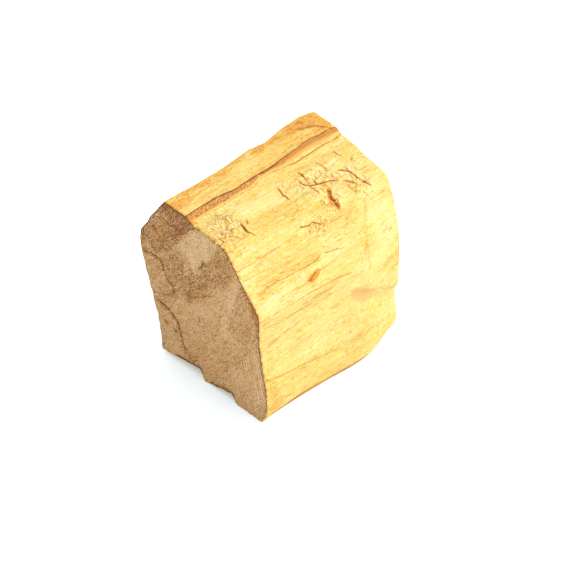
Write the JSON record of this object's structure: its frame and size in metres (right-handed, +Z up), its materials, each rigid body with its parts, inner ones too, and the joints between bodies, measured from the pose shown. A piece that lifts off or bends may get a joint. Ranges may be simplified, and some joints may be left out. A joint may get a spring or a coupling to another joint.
{
  "type": "palo santo wood chunk",
  "caption": "Short thick block of fragrant heartwood with sawn ends and split sides of torn grain, burnt as incense.",
  "frame": {"origin": "middle of the chunk's bounding box, at the level of the surface that it rests on", "axes": "+Z up, +Y along the grain, away from the sawn end that faces -Y; +X towards the split face with the scooped hollow"},
  "size_m": [0.0408, 0.045, 0.0441],
  "materials": {
    "palo_santo_wood": "matte, split and sawn, unfinished"
  },
  "bodies": {
    "root": {"palo_santo_chunk": "palo_santo_wood"}
  },
  "joints": []
}
